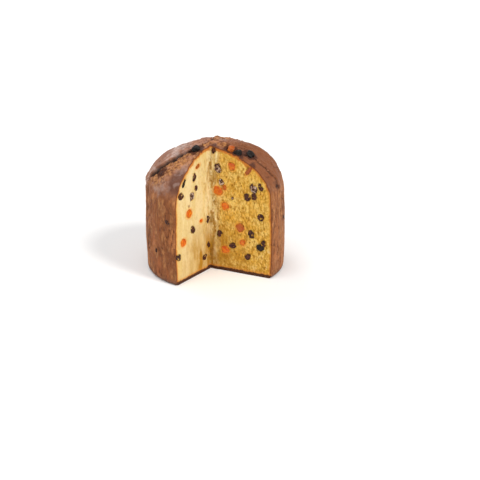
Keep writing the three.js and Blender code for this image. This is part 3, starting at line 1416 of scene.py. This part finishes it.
class Finish:
    """A procedural surface on the Principled shader."""

    name = "finish"

    def material(self) -> bpy.types.Material:
        """Makes the material, or gives the one made before.

        Returns:
            The material.
        """
        made = bpy.data.materials.get(self.name)
        if made is None:
            made = bpy.data.materials.new(self.name)
            made.use_nodes = True
            made.node_tree.nodes.clear()
            self.paint(Nodes(made.node_tree))
        return made

    def paint(self, nodes: Nodes) -> None:
        """Fills the tree. Each finish has its own."""
        raise NotImplementedError

    def shade(self, nodes: Nodes, colour: Any, roughness: Any, bump: Value | None = None,
              bump_height: float = 0.3 * MM, **constants: Any) -> None:
        """Ends a tree in the shader.

        Args:
            nodes: the tree.
            colour: the base colour.
            roughness: the roughness.
            bump: the fine relief, from 0 to 1.
            bump_height: how high that relief is.
            constants: what goes to the shader's other sockets, with underscores for spaces.
        """
        sockets = {"Base Color": colour, "Roughness": roughness}
        if bump is not None:
            relief = nodes.add("ShaderNodeBump", {"Height": bump, "Distance": bump_height})
            sockets["Normal"] = relief.outputs[0]
        sockets |= {key.replace("_", " "): given for key, given in constants.items()}
        shader = nodes.add("ShaderNodeBsdfPrincipled", sockets)
        nodes.add("ShaderNodeOutputMaterial", {"Surface": shader.outputs[0]})

    def place(self, nodes: Nodes) -> bpy.types.NodeSocket:
        """The place that patterns are read at, in metres from where they start."""
        spot = nodes.add("ShaderNodeTexCoord").outputs["Object"]
        return nodes.vector("SUBTRACT", spot, (0, 0, PATTERN_START))

    def height(self, nodes: Nodes, place: Any) -> Value:
        """The height above the table of a place that patterns are read at."""
        return nodes.dot(place, (0, 0, 1)) + PATTERN_START

    def kept(self, nodes: Nodes, name: str) -> Value:
        """A number that the geometry kept on its points."""
        return nodes.value("ShaderNodeAttribute", None, "Fac", attribute_name=name)


@dataclass(frozen=True)
class CrustFinish(Finish):
    """Baked crust: milk-chocolate brown wall, painted grey sheen on the dome, orange-brown where it tore."""

    name: str = "baked_crust"
    tan: Colour = (0.56, 0.208, 0.064)
    brown: Colour = (0.26, 0.080, 0.022)
    olive: Colour = (0.22, 0.100, 0.026)
    light: Colour = (0.72, 0.32, 0.112)
    russet: Colour = (0.48, 0.145, 0.040)
    mauve: Colour = (0.37, 0.190, 0.135)
    # painted highlight: the pale grey-pink of the dome's sheen and of the skin's glints
    sheen_highlight: Colour = (0.60, 0.44, 0.38)
    torn_light: Colour = (0.62, 0.28, 0.095)
    torn_dark: Colour = (0.19, 0.062, 0.025)
    salmon: Colour = (0.56, 0.260, 0.150)
    skin: Colour = (0.13, 0.046, 0.026)
    crease: Colour = (0.085, 0.026, 0.013)
    crack_shadow: Colour = (0.018, 0.010, 0.008)
    underside: Colour = (0.17, 0.08, 0.052)
    drift: Bend = Bend(20 * MM, 5 * MM)
    dome_swing: float = 34 * MM
    halo_swing: float = 3.5 * MM
    dome_halo: float = 3.0 * MM
    bump_height: float = 0.9 * MM
    dome_edge: Pattern = Pattern(14 * MM, 3.0, 0.6)
    patches: Pattern = Pattern(30 * MM, 3.0, 0.6, ease=(0.36, 0.64))
    streaks: Pattern = Pattern(4.2 * MM, 4.0, 0.65, ease=(0.38, 0.62))
    runs: Pattern = Pattern(12 * MM, 3.0, 0.55, squeeze=0.4, ease=(0.5, 0.68))
    lines: Pattern = Pattern(2.6 * MM, 4.0, 0.65, squeeze=0.3, ease=(0.54, 0.64))
    pale_blots: Pattern = Pattern(9 * MM, 3.0, 0.6, squeeze=0.5, ease=(0.5, 0.66))
    rust: Pattern = Pattern(13 * MM, 3.0, squeeze=0.4, ease=(0.5, 0.68))
    sheen_spread: Pattern = Pattern(17 * MM, 3.0, 0.6, ease=(0.44, 0.64))
    crown_blots: Pattern = Pattern(6 * MM, 3.0, 0.6, ease=(0.46, 0.6))
    fine: Pattern = Pattern(1.7 * MM, 3.0, 0.7)
    mottle: Pattern = Pattern(5 * MM, 3.0, 0.65, ease=(0.4, 0.68))
    crumbs: Pattern = Pattern(3.4 * MM, 4.0, 0.7, ease=(0.38, 0.62))
    scabs: Pattern = Pattern(8 * MM, 3.0, 0.6, ease=(0.5, 0.6))
    glints: Pattern = Pattern(9 * MM, 1.0, ease=(0.52, 0.7))
    specks: Pattern = Pattern(2.0 * MM, 1.0, ease=(0.7, 0.78))
    wrinkles: Pattern = Pattern(3.0 * MM, 4.0, 0.65)
    dome_rise: Span = (101 * MM, 126 * MM)
    low_wall: Span = (96 * MM, 28 * MM)
    crown_rise: Span = (144 * MM, 156 * MM)
    fruit_halo: Span = (2.4 * MM, -0.6 * MM)
    foot_rise: Span = (9 * MM, 0.5 * MM)
    lit_side: Span = (34 * MM, -6 * MM)

    def paint(self, nodes: Nodes) -> None:
        """Lays the crust's colours over each other, from the wall up.

        Args:
            nodes: the material's tree.
        """
        place = self.place(nodes)
        height = self.height(nodes, place)
        drift = nodes.bent(place, place, self.drift)
        ragged_height = height + nodes.sway(drift, self.dome_edge) * self.dome_swing
        dome = ragged_height.rise(*self.dome_rise)
        wall = 1 - dome
        torn, skin = self.kept(nodes, "torn"), self.kept(nodes, "skin")
        groove, crack = self.kept(nodes, "groove"), self.kept(nodes, "crack")
        lift = self.kept(nodes, "lift")
        upright = nodes.squeezed(place, 0.26)

        streaks = nodes.eased(upright, self.streaks)
        low = height.rise(*self.low_wall)
        # 1 on the back-left, falling to 0 on the right-front: the coats below paint shade and light by side.
        away = nodes.dot(place, (0.62, -0.78, 0)).rise(*self.lit_side)
        # Painted sheen: paler grey-mauve patches on the dome, most on its back-left; they also set the coat's
        # gloss below.
        sheen_patches = nodes.eased(place, self.sheen_spread) * (away * 0.85 + 0.15) * (1 - skin)
        crown = height.rise(*self.crown_rise) * nodes.eased(drift, self.crown_blots)
        fine = nodes.noise(place, self.fine)
        mottle = nodes.eased(place, self.mottle)
        rags = nodes.blend(nodes.eased(place, self.crumbs), self.torn_dark, self.torn_light)
        rags = nodes.blend(nodes.eased(place, self.scabs) * 0.7, rags, self.salmon)
        # A darker ring round each fruit: painted shade, deepest in the dome's dimples.
        halo = self.kept(nodes, "fruit_gap") + (mottle - 0.5) * self.halo_swing
        fruit_ring_shade = (halo - dome * self.dome_halo).rise(*self.fruit_halo)
        colour = nodes.coats(
            nodes.blend(nodes.eased(place, self.patches), self.brown, self.tan),
            ((1 - streaks) * 0.7 * wall, self.brown),
            (nodes.eased(drift, self.runs) * 0.55 * wall, self.olive),
            (nodes.eased(drift, self.lines) * 0.85 * wall, self.crease),
            (nodes.eased(drift, self.pale_blots) * 0.5 * wall, self.light),
            (nodes.eased(place, self.rust) * (low * 0.5 + 0.2), self.russet),
            # the dome's greyer crust, with part of its sheen painted into this mauve-grey
            (dome * 0.65, self.mauve),
            (sheen_patches * dome * 0.72, self.sheen_highlight),
            (crown * 0.55, self.salmon),
            # painted shade: the mottle and the dome browner on the right-front
            (mottle * (0.75 - away * 0.35), self.brown),
            ((1 - away) * dome * 0.85, self.brown),
            # painted light: the wall paler on the right-front
            ((1 - away) * wall * 0.14, self.light),
            (torn * 0.92, rags),
            (skin * 0.85, self.skin),
            # painted glints on the smooth dark skin
            (skin * nodes.eased(place, self.glints) * 0.3, self.sheen_highlight),
            # painted shade in the creases, slits and folds
            (groove * 0.85, self.crease),
            # painted shade in the low places of the relief, deeper where it tore
            (lift.rise(0.1, -1.5) * (torn * 0.7 + 0.25), self.crease),
            (fruit_ring_shade * (dome * 0.65 + 0.3), self.crease),
            (nodes.eased(place, self.specks) * 0.5, self.crease),
            (height.rise(*self.foot_rise) * 0.8, self.underside),
            # painted shadow: the crack near-black inside
            (crack, self.crack_shadow),
            ((fine - 0.5) * 0.5 + 0.1, self.crease),
        )

        roughness = 0.62 - skin * 0.2 + torn * 0.25 + (fine - 0.5) * 0.25
        polish = dome * (sheen_patches * 0.5 + 0.1) * (1 - torn) * (1 - skin * 0.6)
        wrinkled = nodes.noise(place, self.wrinkles)
        bump = fine * 0.3 + streaks * 0.2 + wrinkled * 0.8
        self.shade(nodes, colour, roughness, bump, self.bump_height, Specular_IOR_Level=0.2,
                   Coat_Weight=polish, Coat_Roughness=0.38)


@dataclass(frozen=True)
class CrumbFinish(Finish):
    """Sliced crumb: pale on the knife-pressed face, painted as lit, golden where it is open, browner near the
    crust.
    """

    name: str = "crumb"
    pale: Colour = (0.78, 0.575, 0.235)
    cream: Colour = (0.84, 0.66, 0.33)
    golden: Colour = (0.80, 0.44, 0.060)
    straw: Colour = (0.90, 0.61, 0.165)
    deep: Colour = (0.46, 0.215, 0.016)
    baked: Colour = (0.60, 0.19, 0.026)
    edge: Colour = (0.16, 0.045, 0.018)
    sole: Colour = (0.050, 0.018, 0.011)
    syrup: Colour = (0.86, 0.36, 0.05)
    granule_size: float = 2.3 * MM
    granule_bend: Bend = Bend(3 * MM, 1.5 * MM)
    band_bend: Bend = Bend(24 * MM, 9 * MM)
    fray_swing: float = 24 * MM
    wander_swing: float = 2.6 * MM
    tear_swing: float = 18 * MM
    nibble_swing: float = 3 * MM
    bump_height: float = 0.7 * MM
    glow_depth: float = 2.2 * MM
    fray: Pattern = Pattern(7 * MM, 3.0, 0.6, squeeze=0.3)
    smear: Pattern = Pattern(9 * MM, 4.0, 0.55, squeeze=0.16)
    clouds: Pattern = Pattern(13 * MM, 3.0, 0.6, ease=(0.36, 0.66))
    grain: Pattern = Pattern(2.1 * MM, 3.0, 0.7)
    coarse: Pattern = Pattern(4.2 * MM, 4.0, 0.7)
    shade_streaks: Pattern = Pattern(10 * MM, 3.0, 0.55, squeeze=0.3, ease=(0.38, 0.64))
    wander: Pattern = Pattern(7 * MM, 2.0)
    tears: Pattern = Pattern(6 * MM, 4.0, 0.65)
    nibbles: Pattern = Pattern(2.4 * MM, 3.0, 0.65)
    fuzz: Pattern = Pattern(0.8 * MM, 2.0, 0.7)
    torn_reach: Span = (17 * MM, 6 * MM)
    outer_depth: Span = (30 * MM, 5 * MM)
    outer_height: Span = (94 * MM, 28 * MM)
    corner_shade_height: Span = (82 * MM, 14 * MM)
    corner_shade_reach: Span = (74 * MM, 10 * MM)
    golden_depth: Span = (9 * MM, 2 * MM)
    baked_depth: Span = (4.2 * MM, 1.8 * MM)
    scorch_depth: Span = (5.5 * MM, 2.5 * MM)
    scorch_height: Span = (122 * MM, 142 * MM)
    rim_depth: Span = (2.0 * MM, 0.8 * MM)
    sole_edge: Span = (7.5 * MM, 4.2 * MM)
    sole_height: Span = (4.8 * MM, 3.6 * MM)
    fruit_halo: Span = (1.2 * MM, 0.1 * MM)

    def paint(self, nodes: Nodes) -> None:
        """Colours the crumb from the middle out to the crust.

        Args:
            nodes: the material's tree.
        """
        place = self.place(nodes)
        faced, depth = self.kept(nodes, "pressed_and_lit"), self.kept(nodes, "depth")
        bubble, strand, rise = (self.kept(nodes, name) for name in ("bubble", "strand", "rise"))
        height = self.height(nodes, place)
        apart = self.kept(nodes, "apart")
        fray = nodes.sway(place, self.fray) * self.fray_swing
        # The left face takes a paler copy of the crumb as painted light; the strip by the apex takes it as
        # well.
        pressed_and_lit = faced.most((apart + fray).rise(*self.torn_reach) * 0.85)
        tall = nodes.squeezed(place, 0.55)
        smear = nodes.noise(place, self.smear)

        clouds = nodes.eased(place, self.clouds)
        grain = nodes.noise(tall, self.grain)
        granule = nodes.cells(nodes.bent(tall, place, self.granule_bend), self.granule_size)
        coarse = nodes.noise(tall, self.coarse)
        outer = depth.rise(*self.outer_depth) * height.rise(*self.outer_height)
        open_colour = nodes.coats(
            nodes.blend(clouds, self.golden, self.straw),
            (grain.rise(0.5, 0.66) * 0.7, self.straw),
            (granule.rise(0.42, 0.85) * 0.75, self.deep),
            (grain.rise(0.48, 0.34) * 0.6, self.deep),
            (outer * coarse.rise(0.5, 0.4) * 0.75, self.deep),
            (outer * coarse.rise(0.56, 0.66) * 0.6, self.cream),
        )
        lit_face_colour = nodes.blend(smear.rise(0.38, 0.62), self.pale, self.cream)
        lit_face_colour = nodes.blend(grain.rise(0.46, 0.3) * 0.16, lit_face_colour, self.golden)

        # Painted shade: the crumb darker low down near the apex, where the faces meet, in soft streaks.
        corner_shade = height.rise(*self.corner_shade_height) * apart.rise(*self.corner_shade_reach)
        shade_streaks = nodes.eased(nodes.bent(place, place, self.band_bend), self.shade_streaks)
        # A painted shadow in the narrow gap round each fruit.
        fruit_ring_shade = self.kept(nodes, "fruit_gap").rise(*self.fruit_halo)
        wander = nodes.sway(place, self.wander) * self.wander_swing
        inward = depth + wander
        tear = nodes.sway(place, self.tears) * self.tear_swing
        scorch = (depth + tear).rise(*self.scorch_depth) * height.rise(*self.scorch_height)
        rim = (depth + wander * 0.35).rise(*self.rim_depth)
        low = height + wander * 0.6 + nodes.sway(place, self.nibbles) * self.nibble_swing
        colour = nodes.coats(
            nodes.blend(pressed_and_lit, open_colour, lit_face_colour),
            # Painted shade in the bubbles, between the strands and in the low places, and painted light on
            # the strands.
            (bubble * 0.75, self.deep),
            (strand.rise(0.02, 0.28) * 0.9, self.cream),
            (strand.rise(-0.06, -0.36) * 0.55, self.deep),
            (rise.rise(-0.25, -1.2) * 0.5, self.deep),
            (corner_shade * (shade_streaks * 0.8 + 0.42), self.deep),
            (self.kept(nodes, "stain") * 0.7, self.syrup),
            (fruit_ring_shade * 0.6, self.deep),
            (inward.rise(*self.golden_depth) * 0.45, self.golden),
            (inward.rise(*self.baked_depth) * 0.9, self.baked),
            (scorch * 0.85, self.baked),
            (rim * 0.9, self.edge),
            (low.rise(*self.sole_edge) * 0.75, self.baked),
            (low.rise(*self.sole_height) * 0.95, self.sole),
        )

        fuzz = nodes.noise(tall, self.fuzz)
        bump = ((grain + (1 - granule) * 0.8) * 0.6 + fuzz * 0.25) * (1 - pressed_and_lit * 0.85)
        self.shade(nodes, colour, 0.88, bump, self.bump_height, Specular_IOR_Level=0.25,
                   Subsurface_Weight=0.12, Subsurface_Radius=(1.0, 0.6, 0.25),
                   Subsurface_Scale=self.glow_depth)


@dataclass(frozen=True)
class RaisinFinish(Finish):
    """Dark wrinkled raisin skin, black where it burnt on the dome."""

    name: str = "raisin_skin"
    dark: Colour = (0.035, 0.011, 0.007)
    red: Colour = (0.15, 0.042, 0.020)
    flesh: Colour = (0.85, 0.62, 0.45)
    burnt: Colour = (0.013, 0.009, 0.007)
    wrinkles: Pattern = Pattern(1.6 * MM, 3.0, 0.6)
    sugar_and_glints: Pattern = Pattern(2.6 * MM, 3.0, 0.6, ease=(0.5, 0.57))
    bump_height: float = 0.5 * MM

    def paint(self, nodes: Nodes) -> None:
        """Mixes skin colours and burns them.

        Args:
            nodes: the material's tree.
        """
        place = self.place(nodes)
        wrinkles = nodes.noise(place, self.wrinkles)
        colour = nodes.blend(wrinkles.rise(0.42, 0.66), self.dark, self.red)
        tone = self.kept(nodes, "tone")
        # Pale patches on the palest raisins: their pale flesh and sugar, with painted glints.
        sugar_and_glints = nodes.eased(place, self.sugar_and_glints) * tone.rise(0.16, 0.06)
        colour = nodes.blend(sugar_and_glints * 0.95, colour, self.flesh)
        colour = nodes.blend(tone.rise(0.35, 0.9), colour, self.burnt)
        self.shade(nodes, colour, 0.5 - wrinkles * 0.25 + tone * 0.1, wrinkles, self.bump_height,
                   Specular_IOR_Level=0.25)


@dataclass(frozen=True)
class OrangeFinish(Finish):
    """Candied orange peel: glossy and glowing, browner where it baked."""

    name: str = "candied_orange"
    bright: Colour = (0.88, 0.235, 0.006)
    deep: Colour = (0.72, 0.115, 0.003)
    brown: Colour = (0.26, 0.060, 0.010)
    flesh: Pattern = Pattern(3.2 * MM, 2.0)
    grain: Pattern = Pattern(0.9 * MM, 2.0)
    bump_height: float = 0.25 * MM
    glow_depth: float = 2.0 * MM

    def paint(self, nodes: Nodes) -> None:
        """Mixes the peel's colours by its tone.

        Args:
            nodes: the material's tree.
        """
        place = self.place(nodes)
        flesh = nodes.noise(place, self.flesh)
        colour = nodes.blend(flesh.rise(0.4, 0.62), self.deep, self.bright)
        colour = nodes.blend(self.kept(nodes, "tone"), colour, self.brown)
        grain = nodes.noise(place, self.grain)
        self.shade(nodes, colour, 0.34 + flesh * 0.15, grain, self.bump_height, Specular_IOR_Level=0.3,
                   Subsurface_Weight=0.15, Subsurface_Radius=(1.0, 0.35, 0.1),
                   Subsurface_Scale=self.glow_depth, Coat_Weight=0.12, Coat_Roughness=0.12)


@dataclass(frozen=True)
class FloorFinish(Finish):
    """A plain white table."""

    name: str = "white_table"
    white: Colour = (0.93, 0.93, 0.93)

    def paint(self, nodes: Nodes) -> None:
        """Paints it plain."""
        self.shade(nodes, self.white, 0.9, Specular_IOR_Level=0.0)


# The fruit


@dataclass
class FruitBatch:
    """All the pieces of one fruit, as one object made by a tree of geometry nodes."""

    kind: Fruit
    name: str
    places: list[FruitPlace]
    wrinkles: Pattern = Pattern(3.0 * MM, 2.0)
    dents: Pattern = Pattern(5.5 * MM, 1.0)
    slice_edge: Pattern = Pattern(1.8 * MM, 2.0)
    pits: Pattern = Pattern(3.6 * MM, 1.0, ease=(0.48, 0.66))
    slice_swing: float = 0.5 * MM
    wrinkle_depth: float = 1.1 * MM
    dent_depth: float = 3.2 * MM
    pit_depth: float = 1.0 * MM
    seed: int = 2

    @property
    def orange(self) -> bool:
        """Whether these are cubes of candied orange."""
        return self.kind is Fruit.ORANGE

    def seeds(self) -> bpy.types.Mesh:
        """Makes one point for each piece.

        Returns:
            A mesh whose points keep each piece's turn, size, tone and the plane that the knife left.
        """
        mesh = bpy.data.meshes.new(self.name + "_places")
        mesh.from_pydata([place.centre for place in self.places], [], [])
        turns = []
        for place in self.places:
            axes = upright_frame(np.array(place.outward), place.spin)
            turns.append(tuple(Matrix(axes.tolist()).to_euler("XYZ")))
        keep(mesh, "turn", np.array(turns))
        for name in ("size", "outward", "centre", "sliced", "tone"):
            keep(mesh, name, np.array([getattr(place, name) for place in self.places]))
        return mesh

    def unit(self, tree: GeometryTree) -> Any:
        """Makes one piece at unit size.

        Args:
            tree: the tree that it is made in.

        Returns:
            The geometry of a round berry, or of a cube with soft corners.
        """
        if not self.orange:
            return tree.add("GeometryNodeMeshIcoSphere", {"Radius": 1.0, "Subdivisions": 5}).outputs[0]
        sides = {"Vertices X": 13, "Vertices Y": 13, "Vertices Z": 13, "Size": (1.7, 1.7, 1.7)}
        cube = tree.add("GeometryNodeMeshCube", sides).outputs[0]
        ball = tree.scaled(tree.vector("NORMALIZE", tree.place), 1.12)
        softer = tree.add("ShaderNodeMix", {"Factor": 0.42}, data_type="VECTOR")
        for socket, given in zip([s for s in softer.inputs if s.type == "VECTOR"][-2:], (tree.place, ball),
                                 strict=True):
            tree.put(socket, given)
        soft = next(s for s in softer.outputs if s.type == "VECTOR")
        return tree.add("GeometryNodeSetPosition", {"Geometry": cube, "Position": soft}).outputs[0]

    def tree(self, material: bpy.types.Material) -> GeometryTree:
        """Makes the tree that sets a unit piece on each point, wrinkles it and slices it.

        Args:
            material: the fruit's material.

        Returns:
            The tree.
        """
        sizes = {"Wrinkle depth": self.wrinkle_depth, "Dent depth": self.dent_depth,
                 "Pit depth": self.pit_depth}
        tree = GeometryTree(self.kind.value + " batch", sizes, self.seed)
        turn = tree.add("FunctionNodeEulerToRotation", {0: tree.named("turn", "FLOAT_VECTOR")}).outputs[0]
        sockets = {"Points": tree.mesh, "Instance": self.unit(tree), "Rotation": turn,
                   "Scale": tree.named("size", "FLOAT_VECTOR")}
        tree.mesh = tree.add("GeometryNodeInstanceOnPoints", sockets).outputs[0]
        tree.mesh = tree.add("GeometryNodeRealizeInstances", {"Geometry": tree.mesh}).outputs[0]
        shifted = tree.vector("ADD", tree.place, tree.scaled((0.13, 0.29, 0.406), tree.size("Seed")))
        normal = tree.add("GeometryNodeInputNormal").outputs[0]
        wrinkle = (0.3 - abs(tree.sway(shifted, self.wrinkles)) * 4) * tree.size("Wrinkle depth")
        dents = (tree.noise(shifted, self.dents) - 0.56) * 2 * tree.size("Dent depth")
        tree.move(tree.scaled(normal, wrinkle + dents))
        outward = tree.named("outward", "FLOAT_VECTOR")
        above = tree.dot(tree.vector("SUBTRACT", tree.place, tree.named("centre", "FLOAT_VECTOR")), outward)
        plane = tree.named("sliced") + tree.sway(shifted, self.slice_edge) * self.slice_swing
        plane = plane - tree.eased(shifted, self.pits) * tree.size("Pit depth")
        tree.move(tree.scaled(outward, plane.least(above) - above))
        tree.dress(material)
        return tree

    def build(self) -> bpy.types.Object:
        """Makes the batch.

        Returns:
            The finished piece.
        """
        finish = OrangeFinish() if self.orange else RaisinFinish()
        piece = self.tree(finish.material()).run(self.seeds(), self.name)
        piece.data.shade_smooth()
        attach(piece, BODY)
        return piece


# The studio


@dataclass(frozen=True)
class Lamp:
    """A soft, far lamp: the direction that it shines from and its spread in degrees, and its strength."""

    name: str
    turn: float
    lift: float
    spread: float
    strength: float
    colour: Colour = (1.0, 1.0, 1.0)


@dataclass
class Studio:
    """A white table under soft light, and the camera. Its turn and lift are the camera's direction."""

    aim_height: float = 84 * MM
    turn: float = math.radians(-13.4)
    lift: float = math.radians(19.4)
    distance: float = 1.2
    lens: float = 73.0
    sensor: float = 36.0
    look_right: float = 30 * MM
    look_down: float = 50 * MM
    table: float = 40.0
    sky: float = 0.38
    lamps: tuple[Lamp, ...] = (
        Lamp("key", 40, 44, 16, 1.75, (1.0, 0.98, 0.95)),
        Lamp("fill", -60, 35, 50, 0.45),
        Lamp("top", -60, 76, 45, 0.85),
        Lamp("back", -160, 38, 40, 0.85),
    )

    def direction(self, turn: float, lift: float) -> Vector:
        """The direction towards something at a turn from straight in front and a lift above the table."""
        level = math.cos(lift)
        return Vector((math.sin(turn) * level, -math.cos(turn) * level, math.sin(lift)))

    def aim(self, thing: bpy.types.Object, spot: Vector, target: Vector) -> None:
        """Puts a lamp or camera into the scene.

        Args:
            thing: the lamp or camera.
            spot: where it stands.
            target: what it is turned to.
        """
        thing.location = spot
        thing.rotation_euler = (target - spot).to_track_quat("-Z", "Y").to_euler()
        show(thing)

    def build(self) -> None:
        """Sets the table, the lights and the camera."""
        mesh = bpy.data.meshes.new("table")
        half = self.table / 2
        corners = [(-half, -half, 0), (half, -half, 0), (half, half, 0), (-half, half, 0)]
        mesh.from_pydata(corners, [], [(0, 1, 2, 3)])
        table = bpy.data.objects.new("table", mesh)
        mesh.materials.append(FloorFinish().material())
        show(table)

        middle = Vector((0, 0, self.aim_height))
        for lamp in self.lamps:
            light = bpy.data.lights.new(lamp.name, "SUN")
            light.angle, light.energy, light.color = math.radians(lamp.spread), lamp.strength, lamp.colour
            way = self.direction(math.radians(lamp.turn), math.radians(lamp.lift))
            self.aim(bpy.data.objects.new(lamp.name, light), middle + way, middle)

        world = bpy.data.worlds.new("sky")
        world.use_nodes = True
        world.node_tree.nodes.clear()
        nodes = Nodes(world.node_tree)
        seen = nodes.value("ShaderNodeLightPath", None, "Is Camera Ray")
        sockets = {"Color": (1, 1, 1), "Strength": seen * (1 - self.sky) + self.sky}
        lit = nodes.add("ShaderNodeBackground", sockets)
        nodes.add("ShaderNodeOutputWorld", {"Surface": lit.outputs[0]})
        bpy.context.scene.world = world

        camera = bpy.data.cameras.new("camera")
        camera.lens, camera.sensor_width = self.lens, self.sensor
        camera.clip_start, camera.clip_end = 0.01, 50
        back = self.direction(self.turn, self.lift)
        right = Vector((math.cos(self.turn), math.sin(self.turn), 0))
        upwards = back.cross(right)
        target = middle + right * self.look_right - upwards * self.look_down
        eye = bpy.data.objects.new("camera", camera)
        self.aim(eye, middle + back * self.distance, target)
        bpy.context.scene.camera = eye
        bpy.context.scene.view_settings.view_transform = "Standard"


def main() -> None:
    """Builds the panettone in order."""
    logging.basicConfig(level=logging.INFO, format="%(message)s")
    low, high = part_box(LOAF_NODE)
    outline = Outline.from_box(low, high)
    cut = WedgeCut()
    filling = Filling(outline, cut)
    Studio().build()
    sliced, baked = filling.on_faces(), filling.on_crust()
    makers = [
        Loaf(outline, cut, filling),
        FruitBatch(Fruit.RAISIN, "raisins", of_kind(sliced, Fruit.RAISIN)),
        FruitBatch(Fruit.RAISIN, "crust_raisins", of_kind(baked, Fruit.RAISIN)),
        FruitBatch(Fruit.ORANGE, "candied_orange_pieces", of_kind(sliced + baked, Fruit.ORANGE),
                   wrinkle_depth=0.45 * MM, dent_depth=1.8 * MM, pit_depth=0.3 * MM),
    ]
    for maker in makers:
        piece = maker.build()
        log.info("%s: %d faces", piece.name, len(piece.data.polygons))


if __name__ == "__main__":
    main()
